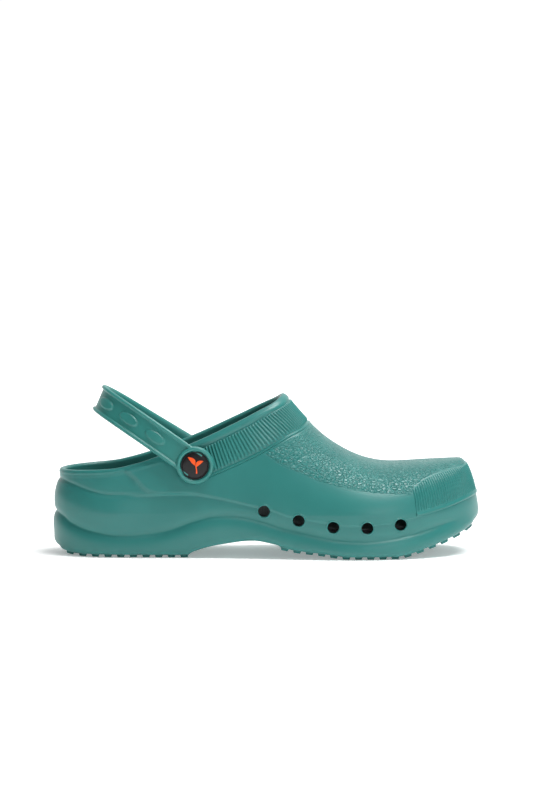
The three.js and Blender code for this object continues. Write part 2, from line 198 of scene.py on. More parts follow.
def evenAngles(count, fine=6000):
    # Ray angles that space the columns evenly along the plan's outline.
    angle = np.linspace(0, 2 * np.pi, fine + 1)
    reach = reachAlong(angle, insidePlan, 240)
    outline = np.stack([reach * np.cos(angle), reach * np.sin(angle)], axis=-1)
    length = np.concatenate([[0], np.cumsum(np.linalg.norm(np.diff(outline, axis=0), axis=1))])
    return np.interp(np.arange(count) * length[-1] / count, length, angle)


def unit(v):
    # Each vector divided by its own length.
    return v / np.maximum(np.linalg.norm(v, axis=-1, keepdims=True), 1e-12)


def gridNormals(grid, closed=True):
    # Cross product of the steps along the columns' ring and up each column.
    if closed:
        along = np.roll(grid, -1, axis=0) - np.roll(grid, 1, axis=0)
    else:
        along = np.gradient(grid, axis=0)
    return unit(np.cross(along, np.gradient(grid, axis=1)))


def planNormals(ring):
    # The ring's direction in plan turned a quarter turn outwards.
    step = np.roll(ring, -1, axis=0) - np.roll(ring, 1, axis=0)
    return unit(np.stack([step[:, 1], -step[:, 0], np.zeros(len(step))], axis=-1))


def newObject(name, points, faces):
    # A mesh from millimetre points, with smooth shading.
    mesh = bpy.data.meshes.new(name)
    mesh.from_pydata((np.asarray(points) * mm).tolist(), [], faces)
    mesh.validate()
    mesh.update()
    mesh.shade_smooth()
    obj = bpy.data.objects.new(name, mesh)
    bpy.context.scene.collection.objects.link(obj)
    return obj


def gridFaces(columns, rows, start=0, wrapColumns=True, wrapRows=False):
    # Quads of a grid whose points are stored column after column.
    i = np.arange(columns if wrapColumns else columns - 1)
    j = np.arange(rows if wrapRows else rows - 1)
    i, j = [a.ravel() for a in np.meshgrid(i, j, indexing="ij")]
    nextI, nextJ = (i + 1) % columns, (j + 1) % rows
    quads = np.stack([i * rows + j, nextI * rows + j, nextI * rows + nextJ, i * rows + nextJ], axis=-1)
    return (quads + start).tolist()


def closedRings(name, grid, firstPole, lastPole):
    # grid[column, ring]: rings run round the shoe and both ends are shut by a fan on a pole.
    columns, rings = grid.shape[:2]
    points = np.concatenate([grid.reshape(-1, 3), [firstPole], [lastPole]])
    faces = gridFaces(columns, rings)
    low, high = columns * rings, columns * rings + 1
    i = np.arange(columns)
    after = (i + 1) % columns
    faces += np.stack([np.full(columns, low), after * rings, i * rings], axis=-1).tolist()
    top = rings - 1
    faces += np.stack([np.full(columns, high), i * rings + top, after * rings + top], axis=-1).tolist()
    return newObject(name, points, faces)


def closedSlab(name, outer, inner):
    # A sheet with two faces: outer and inner grids of one size, joined round their border.
    columns, rows = outer.shape[:2]
    points = np.concatenate([outer.reshape(-1, 3), inner.reshape(-1, 3)])
    size = columns * rows
    faces = gridFaces(columns, rows, 0, False)
    faces += [quad[::-1] for quad in gridFaces(columns, rows, size, False)]
    low = np.arange(columns) * rows
    edge = np.concatenate([low, (columns - 1) * rows + np.arange(1, rows),
                           low[::-1][1:] + rows - 1, np.arange(rows - 2, 0, -1)])
    after = np.roll(edge, -1)
    faces += np.stack([after, edge, edge + size, after + size], axis=-1).tolist()
    return newObject(name, points, faces)


def turnedPiece(name, profile, place, sideSign=1, sides=96):
    # A profile of (radius, height) carried round an axis along Y, its ends on the axis.
    p = np.array(profile, float)
    angle = np.linspace(0, 2 * np.pi, sides, endpoint=False)[:, None]
    body = p[1:-1]
    x = body[:, 0] * np.cos(angle)
    z = body[:, 0] * np.sin(angle) * -sideSign
    y = np.broadcast_to(body[:, 1] * sideSign, x.shape)
    grid = np.stack([x, y, z], axis=-1) + place
    first = np.array([0, p[0, 1] * sideSign, 0]) + place
    final = np.array([0, p[-1, 1] * sideSign, 0]) + place
    return closedRings(name, grid, first, final)


def roundedProfile(corners, radius, steps=6):
    # Cuts every corner of an open profile with an arc-like quadratic curve.
    p = np.array(corners, float)
    out = [p[0]]
    for before, at, after in zip(p[:-2], p[1:-1], p[2:]):
        reach = min(radius, 0.45 * np.linalg.norm(before - at), 0.45 * np.linalg.norm(after - at))
        a, b = at + unit(before - at) * reach, at + unit(after - at) * reach
        t = np.linspace(0, 1, steps)[:, None]
        out.extend((1 - t) ** 2 * a + 2 * t * (1 - t) * at + t ** 2 * b)
    out.append(p[-1])
    return np.array(out)


# The shell is one foam moulding, with relief worked on to the last.
shell = dict(
    columns=455,
    sideRows=68,                    # widest line up to the rim zone
    rimZone=26.0,                   # this near the rim, rows keep their distance from it
    rimRows=38,
    wallRows=38,                    # sole's round up to the widest line
    skirt=1.3,                      # the side wall hangs this far down round the outsoles
    creaseDepth=1.9,
    stepDepth=1.0,                  # how far the vent channel lies under the upper's edge
    patchRise=1.3,
    beadWidth=3.9,                  # piping round the collar
    beadRise=0.75,
)
band = dict(
    top=4.1,                        # distances from the rim, down the wall
    bottom=25.2,
    pitch=2.05,
    ribRise=1.0,
    shear=0.12,                     # ribs lean forward by this much of their run
    rearX=-50.0,                    # rim station where the ribs start, behind the strap's ring
)
bumper = dict(
    rearX=100.5,
    pitch=1.95,
    ribRise=0.6,
)
bumperLow = lineThrough([(98, 31), (110, 33.4), (125, 37.2), (138, 41.5), (145, 43.3)])
bumperHigh = lineThrough([(98, 43.5), (104, 49), (112, 53.2), (124, 56.8), (136, 59.8), (145, 61.4)])
grainLine = lineThrough([           # lower border of the grained panel on the vamp's sides
    (-12, 79), (-1, 71.2), (9, 64.3), (21.5, 58.7), (34, 53.2), (48, 49.3), (67, 45.6),
    (86, 43.9), (99, 43.5), (110, 46)])

rimAngles = np.linspace(-math.pi, math.pi, 2881)
rimReach = reachAlong(rimAngles, belowCollar, reachAlong(rimAngles, insidePlan, 240))
rimX = last["fanX"] + rimReach * np.cos(rimAngles)
rimY = rimReach * np.sin(rimAngles)
rimSteps = np.linalg.norm(np.diff(np.stack([rimX, rimY, collarLine(rimX)]), axis=1), axis=0)
rimLength = np.concatenate([[0], np.cumsum(rimSteps)])
rimLength -= rimLength[1440]        # measured from the front of the collar, both ways
bandHalf = np.interp(-band["rearX"], -rimX[1440:], rimLength[1440:])


def rimDistance(angle):
    # Distance along the rim from its front point to a ray.
    wrapped = (np.asarray(angle) + math.pi) % (2 * math.pi) - math.pi
    return np.abs(np.interp(wrapped, rimAngles, rimLength))


def ribShear(distance):
    # The ribs' lean grows from nothing at the front to its full value at 30 mm.
    return band["shear"] * smooth(0, 30, distance)


def bandMask(angle, down):
    # 1 inside the ribbed collar band, whose rear end slopes as its ribs do.
    reach = rimDistance(angle) + band["shear"] * down
    inside = smooth(band["top"] - 0.1, band["top"] + 0.4, down)
    inside = inside * (1 - smooth(band["bottom"] - 0.1, band["bottom"] + 0.5, down))
    return inside * (1 - smooth(bandHalf - 1, bandHalf, reach))


def wallRelief(x, z):
    # Height over the last of the creases, rolls, step and raised quarter on the side walls.
    low, high = lowGroove(x), highGroove(x)
    heelPart = 1 - smooth(-104, -78, x)
    toeFade = 1 - smooth(110, 132, x)
    relief = -shell["creaseDepth"] * toeFade * np.exp(-(np.abs(z - low) / 2.3) ** 1.25)
    relief += 0.5 * bump(z - (low - 8), 6)
    relief += 0.9 * heelPart * bump(z - (0.45 * low + 0.55 * high), 7)
    relief -= 1.5 * heelPart * np.exp(-(np.abs(z - high) / 1.7) ** 1.3)
    relief -= 0.5 * heelPart * smooth(high, high + 4, z)
    underStep = (1 - heelPart) * (1 - smooth(high - 1.2, high - 0.1, z)) * (1 - smooth(94, 106, x))
    relief -= shell["stepDepth"] * underStep * smooth(low - 1, low + 2, z)
    onPatch = smooth(-0.6, 0.6, x - patchEdge(z)) * smooth(high - 0.6, high + 0.5, z)
    relief += shell["patchRise"] * onPatch * (1 - smooth(-66, -36, x))
    return relief


def upperRows(path, walked, count):
    # Distances of one column's rows: close at the turn of the wall, fixed near the rim.
    total = walked[:, -1:]
    t = np.linspace(0, 1, count + 1)[None, :-1]
    side = (total - shell["rimZone"]) * (0.45 * t + 0.55 * t ** 2)
    fixed = total - np.linspace(shell["rimZone"], 0, shell["rimRows"])[None, :]
    return np.concatenate([side, fixed], axis=1)


def insetRing(outline, normals, inset, height):
    # The outline moved inwards, at a height that follows x. Steps may be arrays.
    moved = outline[:, None, :] - normals[:, None, :] * np.asarray(inset)[None, :, None]
    moved[..., 2] = height(moved[..., 0])
    return moved


def towardsPole(ring, parts, height):
    # Copies of a ring shrunk towards the fan's pole, at a height that follows x.
    parts = np.asarray(parts)[None, :]
    x = last["fanX"] + (ring[:, 0:1] - last["fanX"]) * parts
    return np.stack([x, ring[:, 1:2] * parts, height(x)], axis=-1)


def skirtDepth(x):
    # The skirt runs beside the two outsoles and fades out at their ends.
    heel = smooth(-141, -138, x) * (1 - smooth(-53, -49, x))
    toe = smooth(7, 11, x) * (1 - smooth(139, 142, x))
    return shell["skirt"] * (heel + toe)


def nearestOutlineX(points):
    # The x of the plan outline's point nearest in plan, for points near the toe.
    angle = np.linspace(-0.5, 0.5, 241)
    reach = reachAlong(angle, insidePlan, 240)
    x, y = last["fanX"] + reach * np.cos(angle), reach * np.sin(angle)
    flat = points[..., :2].reshape(-1, 2)
    near = flat[:, 0] > 85
    found = flat[:, 0].copy()
    away = (flat[near, 0, None] - x) ** 2 + (flat[near, 1, None] - y) ** 2
    found[near] = x[away.argmin(axis=1)]
    return found.reshape(points.shape[:-1])


def buildShell():
    # Rings from under the sole, up the outside, over the collar's lip, down the inside and
    # over the footbed. The outside moves along its normal by the relief.
    angle = evenAngles(shell["columns"])
    path, walked = wallPaths(angle)
    distances = upperRows(path, walked, shell["sideRows"])
    upper = alongPaths(path, walked, distances)
    upperNormal = gridNormals(upper)
    outline = upper[:, 0]
    outward = planNormals(outline)
    turn = np.linspace(0, math.pi / 2, 9)
    rounding = insetRing(outline, outward, last["soleRound"] * (1 - np.sin(turn)), underside)
    rounding[..., 2] += 1.5 * last["soleRound"] * (1 - np.cos(turn))
    low = rounding[:, -1:, :]
    climb = np.linspace(0, 1, shell["wallRows"] + 1)[1:-1][None, :, None]
    wall = low + (outline[:, None, :] - low) * climb
    rounding[..., 2] -= skirtDepth(rounding[..., 0])
    seat = insetRing(outline, outward, [4.7, 4.6, 3.9], underside)
    seat[:, 1:, 2] -= skirtDepth(seat[:, 1:, 0])
    under = towardsPole(seat[:, 0], np.linspace(0.06, 0.97, 13) ** 0.9, underside)
    lower = np.concatenate([rounding[:, 1:], wall], axis=1)
    lower += outward[:, None, :] * wallRelief(lower[..., 0], lower[..., 2])[..., None]

    down = walked[:, -1:] - distances
    piping = 0.25 + 0.75 * smooth(-84, -52, upper[..., 0])
    relief = wallRelief(upper[..., 0], upper[..., 2])
    relief *= smooth(shell["beadWidth"] * piping, 6.5 * piping, down)
    piping *= 1 - 0.6 * smooth(0, 11, upper[..., 0])
    relief += shell["beadRise"] * piping * np.sin(
        np.clip(down / shell["beadWidth"], 0, 1) * math.pi) ** 0.8
    relief -= 1.1 * bandMask(angle[:, None], down)
    around = nearestOutlineX(upper)
    onBumper = smooth(bumperLow(around) + 0.5, bumperLow(around) + 2, upper[..., 2])
    onBumper = onBumper * (1 - smooth(bumperHigh(around) - 3, bumperHigh(around) - 1, upper[..., 2]))
    relief -= 0.55 * onBumper * smooth(bumper["rearX"] + 1.5, bumper["rearX"] + 4.5, around)
    outer = upper + upperNormal * relief[..., None]

    thickness = last["upperWall"] + (last["soleWall"] - last["upperWall"]) * (
        1 - smooth(0, 14, distances))
    rimNormal = upperNormal[:, -1]
    rise = unit(upper[:, -1] - upper[:, -3])
    half = last["upperWall"] / 2
    over = np.linspace(0, math.pi, 11)[1:-1]
    centre = upper[:, -1] - rimNormal * half
    lip = centre[:, None, :] + half * (np.cos(over)[None, :, None] * rimNormal[:, None, :]
                                       + 0.9 * np.sin(over)[None, :, None] * rise[:, None, :])
    picked = np.unique(np.round(np.linspace(upper.shape[1] - 1, 1, 20)).astype(int))[::-1]
    inner = (upper - upperNormal * thickness[..., None])[:, picked]
    fillet = np.linspace(0, math.pi / 2, 6)
    floorIn = last["soleWall"] + last["floorRound"] * (1 - np.cos(fillet))
    corner = insetRing(outline, outward, floorIn, footbed)
    corner[..., 2] += last["floorRound"] * (1 - np.sin(fillet))
    floor = towardsPole(corner[:, -1], np.linspace(0.95, 0.06, 9), footbed)
    grid = np.concatenate([under, seat, rounding[:, :1], lower, outer, lip, inner, corner, floor],
                          axis=1)
    fanX = last["fanX"]
    obj = closedRings("shell_moulding", grid, (fanX, 0, underside(fanX)), (fanX, 0, footbed(fanX)))
    fixNormals(obj)

    # distance in mm inside the grained panel's border, for the material
    panel = np.minimum(upper[..., 2] - grainLine(upper[..., 0]), down - band["bottom"] - 1.2)
    ahead = np.where(around > bumper["rearX"], upper[..., 2] - bumperHigh(around), 9)
    panel = np.minimum(panel, np.where(distances < 60, ahead, 9))
    panel = np.where(upper[..., 0] < -14, -9, panel)
    grain = np.full(grid.shape[:2], -9.0)
    first = under.shape[1] + 4 + lower.shape[1]
    grain[:, first:first + outer.shape[1]] = np.clip(panel, -9, 9)
    # 1 inside the shoe, where the material paints a lighter colour to lift the shade there
    inside = np.zeros(grid.shape[:2])
    inside[:, first + outer.shape[1] + 5:] = 1
    for name, values in (("grainPanel", grain), ("insideShoe", inside)):
        layer = obj.data.attributes.new(name, "FLOAT", "POINT")
        layer.data.foreach_set("value", np.concatenate([values.ravel(), values[0, [0, -1]]]))
    return obj


def sidePoint(x, z, side):
    # A point of the shoe's outside in side view: on the last above the widest line, and on
    # the plan outline below it, with the relief added along y.
    far = halfWidth(x, centreLine(x) + side)
    near = np.zeros_like(far)
    outerEdge = far.copy()
    for step in range(40):
        middle = (near + far) / 2
        above = lastHeight(x, centreLine(x) + side * middle) > z
        near, far = np.where(above, middle, near), np.where(above, far, middle)
    out = np.where(z > last["wideZ"], near, outerEdge)
    y = centreLine(x) + side * (out + wallRelief(x, z))
    return np.stack([x, y, z], axis=-1)


def sideNormal(x, z, side, step=0.6):
    # Cross product of the surface's steps along x and along z.
    across = sidePoint(x + step, z, side) - sidePoint(x - step, z, side)
    upward = sidePoint(x, z + step, side) - sidePoint(x, z - step, side)
    return unit(np.cross(across, upward) * -side)


vent = dict(
    places=[(-1.4, 32.3), (22.0, 26.5), (45.4, 22.3), (68.3, 21.8), (90.9, 23.7)],
    radius=4.0,
    lip=0.6,                        # how thick the rounded lip is
)


def cutVents(obj):
    # Round bars along y, taken out of the moulding; the lips then cover the cut edges.
    points, faces = [], []
    turn = np.linspace(0, 2 * np.pi, 40, endpoint=False)
    for x, z in vent["places"]:
        for side in (-1, 1):
            start = len(points)
            for y in (side * 34, side * 75):
                ring = np.stack([x + vent["radius"] * np.cos(turn), np.full(40, float(y)),
                                 z + vent["radius"] * np.sin(turn)], axis=-1)
                points.extend(ring)
            i = np.arange(40)
            after = (i + 1) % 40
            quads = np.stack([i, after, after + 40, i + 40], axis=-1) + start
            ends = [(i + start).tolist(), (i[::-1] + start + 40).tolist()]
            if side < 0:
                quads, ends = quads[:, ::-1], [end[::-1] for end in ends]
            faces += quads.tolist() + [end[::-1] for end in ends]
    cutter = newObject("vent_cutter", points, faces)
    fixNormals(cutter)
    modifier = obj.modifiers.new("vents", "BOOLEAN")
    modifier.operation = "DIFFERENCE"
    modifier.object = cutter
    modifier.solver = "EXACT"
    graph = bpy.context.evaluated_depsgraph_get()
    cut = bpy.data.meshes.new_from_object(obj.evaluated_get(graph), depsgraph=graph)
    obj.modifiers.clear()
    obj.data = cut
    bpy.data.objects.remove(cutter)


def buildVentLips():
    # A small rounded ring on the surface round each vent.
    points, faces = [], []
    a, b = np.meshgrid(np.linspace(0, 2 * np.pi, 56, endpoint=False),
                       np.linspace(0, 2 * np.pi, 14, endpoint=False), indexing="ij")
    for x, z in vent["places"]:
        for side in (-1, 1):
            radius = vent["radius"] + vent["lip"] * (0.85 + np.cos(b))
            px, pz = x + radius * np.cos(a), z + radius * np.sin(a)
            out = sideNormal(np.full_like(a, x), np.full_like(a, z), side)
            ring = sidePoint(px, pz, side) + out * (vent["lip"] * 0.8 * np.sin(b) - 0.15)[..., None]
            quads = np.array(gridFaces(56, 14, len(points), True, True))
            faces += (quads if side > 0 else quads[:, ::-1]).tolist()
            points.extend(ring.reshape(-1, 3))
    obj = newObject("vent_lips", points, faces)
    fixNormals(obj)
    return obj


def surfaceTable(angle, depth, fromRim):
    # The last's outside and its normals on a coarse table: one row per ray, one entry per
    # distance from the rim or from the widest line.
    path, walked = wallPaths(angle)
    wanted = walked[:, -1:] - depth[None, :] if fromRim else np.broadcast_to(depth, (len(angle), len(depth)))
    points = alongPaths(path, walked, wanted)
    normals = gridNormals(points, closed=False)
    return points, (-normals if fromRim else normals), path, walked


def lookUp(table, u, v):
    # Bilinear reading of a table at fractional row and column numbers.
    i = np.clip(np.floor(u).astype(int), 0, table.shape[0] - 2)
    j = np.clip(np.floor(v).astype(int), 0, table.shape[1] - 2)
    a, b = (u - i)[..., None], (v - j)[..., None]
    low = table[i, j] * (1 - b) + table[i, j + 1] * b
    high = table[i + 1, j] * (1 - b) + table[i + 1, j + 1] * b
    return low * (1 - a) + high * a


def ribWave(turns):
    # Broad rounded ribs with narrow valleys, from 0 to 1.
    return (0.5 + 0.5 * np.cos(2 * np.pi * turns)) ** 0.55


def buildCollarBand():
    # A strip along the collar: distance along the rim by distance down the wall. Ribs are a
    # wave of the first, with a plain groove and a fine bead at the strip's lower edge.
    depth = np.linspace(2, 29, 55)
    angle = np.linspace(-1.9, 1.9, 761)
    points, normals, _, _ = surfaceTable(angle, depth, True)
    normals = unit(normals)
    count = int(round(bandHalf / band["pitch"]))
    q = np.linspace(-count, count, count * 2 * 9 + 1) * band["pitch"]
    down = np.concatenate([
        np.linspace(band["top"] - 0.4, band["top"] + 2, 9),
        np.linspace(band["top"] + 2.4, band["bottom"] - 2.2, 16),
        np.linspace(band["bottom"] - 1.8, band["bottom"] + 0.9, 12)])
    q, down = np.meshgrid(q, down, indexing="ij")
    along = np.sign(q) * np.maximum(np.abs(q) - ribShear(np.abs(q)) * (down - band["top"]), 0)
    rayAngle = np.interp(along, rimLength, rimAngles)
    u = (rayAngle + 1.9) / 3.8 * (len(angle) - 1)
    v = (down - 2) / 27 * (len(depth) - 1)
    base, out = lookUp(points, u, v), unit(lookUp(normals, u, v))
    ribs = smooth(band["top"] + 0.5, band["top"] + 1.5, down) * (
        1 - smooth(band["bottom"] - 2.6, band["bottom"] - 1.6, down))
    height = -0.7 + band["ribRise"] * ribs * ribWave(q / band["pitch"])
    height += 1.0 * bump(down - (band["bottom"] - 0.15), 0.62)
    height -= 0.5 * smooth(band["bottom"] + 0.3, band["bottom"] + 0.9, down)
    ends = smooth(count * band["pitch"] - 1.5, count * band["pitch"], np.abs(q))
    height -= 0.5 * ends
    obj = closedSlab("collar_band", base + out * height[..., None], base - out * 1.9)
    fixNormals(obj)
    return obj


def inwardPaths(outline, depth=34, fine=420):
    # Paths over the last that start on the outline and run square to it in plan.
    tangent = unit(np.gradient(outline, axis=0))
    inward = np.stack([-tangent[:, 1], tangent[:, 0]], axis=-1)
    reach = depth * np.linspace(0, 1, fine) ** 2
    x = outline[:, :1] + inward[:, :1] * reach
    y = outline[:, 1:2] + inward[:, 1:] * reach
    path = np.stack([x, y, lastHeight(x, y)], axis=-1)
    steps = np.linalg.norm(np.diff(path, axis=1), axis=-1)
    return path, np.concatenate([np.zeros((len(outline), 1)), np.cumsum(steps, axis=1)], axis=1)


def buildBumper():
    # A raised guard round the toe: distance along the outline by height up the wall.
    fine = np.linspace(-0.42, 0.42, 1501)
    reach = reachAlong(fine, insidePlan, 240)
    outline = np.stack([last["fanX"] + reach * np.cos(fine), reach * np.sin(fine)], axis=-1)
    path, walked = inwardPaths(outline)
    points = alongPaths(path, walked, np.broadcast_to(np.linspace(0, 50, 101), (len(fine), 101)))
    normals = gridNormals(points, closed=False)
    length = np.concatenate([[0], np.cumsum(np.linalg.norm(np.diff(outline, axis=0), axis=1))])
    front = np.interp(0, fine, length)
    ends = [np.interp(bumper["rearX"], outline[:750, 0], length[:750]),
            np.interp(-bumper["rearX"], -outline[750:, 0], length[750:])]
    wall = path[:, :300]
    lowAt = np.array([np.interp(z, w[:, 2], d) for z, w, d in
                      zip(bumperLow(outline[:, 0]), wall, walked[:, :300])])
    highAt = np.array([np.interp(z, w[:, 2], d) for z, w, d in
                       zip(bumperHigh(outline[:, 0]), wall, walked[:, :300])])
    first = math.ceil((ends[0] - front) / bumper["pitch"])
    final = math.floor((ends[1] - front) / bumper["pitch"])
    turns = np.linspace(first - 0.5, final + 0.5, (final - first + 1) * 9 + 1)
    up = np.concatenate([np.linspace(-3.4, 0.4, 12), np.linspace(0.8, 1.6, 3), [0.0] * 14,
                         np.linspace(-1.5, 1.2, 9)])
    part = np.concatenate([np.zeros(15), np.linspace(0.12, 0.86, 14), np.ones(9)])
    s = turns * bumper["pitch"] + front
    u = np.interp(s, length, np.arange(len(fine)))
    low, high = np.interp(s, length, lowAt)[:, None], np.interp(s, length, highAt)[:, None]
    v = (low + (high - low) * part[None, :] + up[None, :]) / 50 * 100
    u = np.broadcast_to(u[:, None], v.shape)
    base, out = lookUp(points, u, v), unit(lookUp(normals, u, v))
    d = v / 2
    ridge = bump(d - (low - 1.5), 1.5)
    ribs = smooth(low + 0.1, low + 1.1, d) * (1 - smooth(high - 2.0, high - 0.2, d))
    plain = smooth(low - 3.2, low - 2.2, d) * (1 - smooth(high - 0.9, high + 1.0, d))
    height = -0.75 + plain + 0.75 * ridge
    height += bumper["ribRise"] * 1.1 * ribs * (ribWave(turns)[:, None] - 0.45)
    edge = np.minimum(turns - turns[0], turns[-1] - turns)[:, None] * bumper["pitch"]
    height = np.minimum(height, -0.9 + 2.6 * np.sqrt(np.clip(edge / 1.6, 0, 1)))
    return closedSlab("toe_bumper", base + out * height[..., None], base - out * 1.8)


pivot = np.array([-48.0, 0.0, 63.4])
strap = dict(
    reach=77.2,
    half=41.2,
    thickness=4.4,
    width=18.6,
    slope=36.0,
    droop=6.0,
    twist=12.0,
    taper=1.2,                      # 1 is an ellipse; more narrows the loop sooner
    sag=1.8,                        # how far the inner arm bows down between its ends
    bead=1.35,                      # half the width of the piping along both edges
    channel=1.5,                    # how deep the face lies between the pipings
    ovals=[33.3, 56.0, 78.7],       # distances from the hinge along the band
    ovalLength=16.0,
    ovalWidth=6.9,
    ringRadius=12.8,
    seatY=38.6,
    ringDepth=5.2,
    headRadius=9.4,
    shaftRadius=4.0,
)
ringTop = strap["seatY"] + strap["ringDepth"]
recessY = ringTop - 2.1


def strapPath(turn):
    # A tapered loop from one hinge round the back to the other, on a plane that rises at
    # the slope and flattens towards the back; the inner arm hangs a little.
    out = strap["reach"] * np.abs(np.cos(turn)) ** strap["taper"]
    rise = np.radians(strap["slope"] - strap["droop"] / 2 * out / strap["reach"])
    sag = np.where(turn < 0, strap["sag"] * np.sin(np.pi * out / strap["reach"]), 0)
    return np.stack([pivot[0] - out * np.cos(rise), -strap["half"] * np.sin(turn),
                     pivot[2] + out * np.sin(rise) - sag], axis=-1)


def buildStrap():
    # The section is carried along the path: piping on both edges of a shallow channel, with
    # raised lens shapes along it; the inner face is flat with rounded edges.
    fine = strapPath(np.linspace(-math.pi / 2, math.pi / 2, 8001))
    length = np.concatenate([[0], np.cumsum(np.linalg.norm(np.diff(fine, axis=0), axis=1))])
    s = np.linspace(0, length[-1], 620)
    path = np.stack([np.interp(s, length, fine[:, k]) for k in range(3)], axis=-1)
    along = unit(np.gradient(path, axis=0))
    back = (pivot[0] - path[:, 0]) / strap["reach"]
    lean = np.radians(strap["slope"] - (strap["droop"] + strap["twist"]) * back ** 2)
    up = np.stack([np.sin(lean), np.zeros(len(s)), np.cos(lean)], axis=-1)
    up = unit(up - along * (up * along).sum(axis=1, keepdims=True))
    out = np.cross(along, up)
    wide, thick = strap["width"] / 2, strap["thickness"] / 2
    a = wide * np.sin(np.linspace(-math.pi / 2, math.pi / 2, 64))
    beadAt = wide - strap["bead"]
    bead = np.sqrt(np.clip(1 - ((np.abs(a) - beadAt) / strap["bead"]) ** 2, 0, 1))
    face = np.where(np.abs(a) < beadAt - strap["bead"], 0, bead)
    fromHinge = np.minimum(s, length[-1] - s)
    lens = np.zeros((len(s), len(a)))
    for place in strap["ovals"]:
        q = (2 * (fromHinge[:, None] - place) / strap["ovalLength"]) ** 2 + (
            2 * a[None, :] / strap["ovalWidth"]) ** 2
        lens = np.maximum(lens, 1 - smooth(0.7, 1.05, q) + 0.12 * np.clip(1 - q, 0, 1))
    outerB = thick - strap["channel"] + strap["channel"] * face[None, :] + 1.0 * lens
    innerA = wide * np.sin(np.linspace(math.pi / 2, -math.pi / 2, 22))[1:-1]
    innerB = -thick * (1 - (np.abs(innerA) / wide) ** 8)
    sectionA = np.concatenate([a, innerA])
    sectionB = np.concatenate([outerB, np.broadcast_to(innerB, (len(s), len(innerB)))], axis=1)
    sectionB[:, [0, 63]] = 0.35
    grid = path[None] + sectionA[:, None, None] * up[None] + sectionB.T[..., None] * out[None]
    return closedRings("strap_band", grid[::-1], path[0], path[-1])


def ringPiece(name, section, place, sideSign, sides=128):
    # A closed section of (radius, height) points carried round an axis along Y.
    p = np.array(section, float)
    angle = np.linspace(0, 2 * np.pi, sides, endpoint=False)[:, None]
    grid = np.stack([p[:, 0] * np.cos(angle), np.broadcast_to(p[:, 1] * sideSign, (sides, len(p))),
                     -sideSign * p[:, 0] * np.sin(angle)], axis=-1) + place
    return newObject(name, grid.reshape(-1, 3), gridFaces(sides, len(p), 0, True, True))


def buildHinge(name, side):
    # Ring of the strap, rivet with its dished head, badge and the cap inside the shoe.
    outer, shaft, head = strap["ringRadius"], strap["shaftRadius"] + 0.3, strap["headRadius"]
    ring = roundedProfile([
        (shaft, recessY - 0.4), (shaft, strap["seatY"]), (outer - 0.2, strap["seatY"]),
        (outer, strap["seatY"] + 2.6), (outer - 0.5, ringTop - 0.5), (outer - 1.7, ringTop),
        (head + 0.9, ringTop - 0.35), (head + 0.35, ringTop - 1.1), (head + 0.3, recessY),
        (shaft, recessY)], 0.7)[:-1]
    pieces = {"ring": ringPiece(f"strap_ring_{name}", ring, pivot, side)}
    low = recessY + 0.3
    post = roundedProfile([
        (0, 27.8), (3.4, 27.8), (4, 28.6), (4, low), (head, low), (head, low + 1.4),
        (head - 0.75, low + 1.4), (head - 0.8, low + 0.9), (0, low + 0.9)], 0.3)
    pieces["post"] = turnedPiece(f"rivet_{name}", post, pivot, side)
    t = np.linspace(0, 1, 26)[1:]
    rim = head - 0.95
    dome = np.stack([rim * t, low + 1.75 - 0.5 * t ** 2 - 0.12 * t ** 12], axis=-1)[::-1]
    badge = np.concatenate([[(0, low + 1.0), (rim, low + 1.0)], dome, [(0, low + 1.75)]])
    pieces["badge"] = turnedPiece(f"badge_{name}", badge, pivot, side)
    cap = roundedProfile([
        (0, 26.2), (4.4, 26.25), (5.8, 26.7), (7.2, 27.6), (7.2, 29), (4.3, 29), (4.3, 27.9),
        (0, 27.6)], 0.8)
    pieces["cap"] = turnedPiece(f"cap_{name}", cap, pivot, side)
    return pieces


badgeMark = dict(
    leafLength=7.4,
    leafWidth=3.0,
    stemWidth=0.75,
    rise=0.08,                      # thickness of the printed ink
)


def buildBadgeMark(name, side):
    # A sprig of two leaves on a curved stem, laid on the badge's dome and two-sided.
    t = np.linspace(0, 1, 34)[:, None]
    across = np.linspace(-1, 1, 9)[None, :]
    shapes = []
    for lean, scale, root in ((132, 1.0, (0.2, 0.2)), (38, 0.88, (0.5, -0.9))):
        turn = math.radians(lean)
        length = badgeMark["leafLength"] * scale * t
        width = badgeMark["leafWidth"] * scale / 2 * np.sin(np.pi * t) ** 0.75 * (1.15 - 0.35 * t)
        sway = 0.9 * np.sin(np.pi * t) * (1 if lean < 90 else -1)
        px = length + 0 * across
        pz = width * across + sway
        shapes.append((root[0] + px * math.cos(turn) - pz * math.sin(turn),
                       root[1] + px * math.sin(turn) + pz * math.cos(turn)))
    stemZ = -5.4 + 5.9 * t
    stemX = 0.3 + 0.9 * np.sin(np.pi * (1 - t) * 0.6)
    taper = badgeMark["stemWidth"] / 2 * (1.25 - 0.5 * t)
    shapes.append((stemX + taper * across, stemZ + 0 * across))
    points, faces = [], []
    rim = strap["headRadius"] - 0.95
    for x, z in shapes:
        radius = np.hypot(x, z) / rim
        y = recessY + 0.3 + 1.75 - 0.5 * radius ** 2
        front = np.stack([x, side * (y + badgeMark["rise"]), z], axis=-1) + pivot
        back = np.stack([x, side * (y - 0.15), z], axis=-1) + pivot
        mark = closedSlab("shape", front, back)
        start = len(points)
        points += [tuple(v.co / mm) for v in mark.data.vertices]
        faces += [[i + start for i in poly.vertices] for poly in mark.data.polygons]
        bpy.data.objects.remove(mark)
    obj = newObject(f"badge_mark_{name}", points, faces)
    fixNormals(obj)
    return obj


def fixNormals(obj):
    # Turns every face so that its normal points out of the closed mesh.
    work = bmesh.new()
    work.from_mesh(obj.data)
    bmesh.ops.recalc_face_normals(work, faces=work.faces)
    work.to_mesh(obj.data)
    work.free()


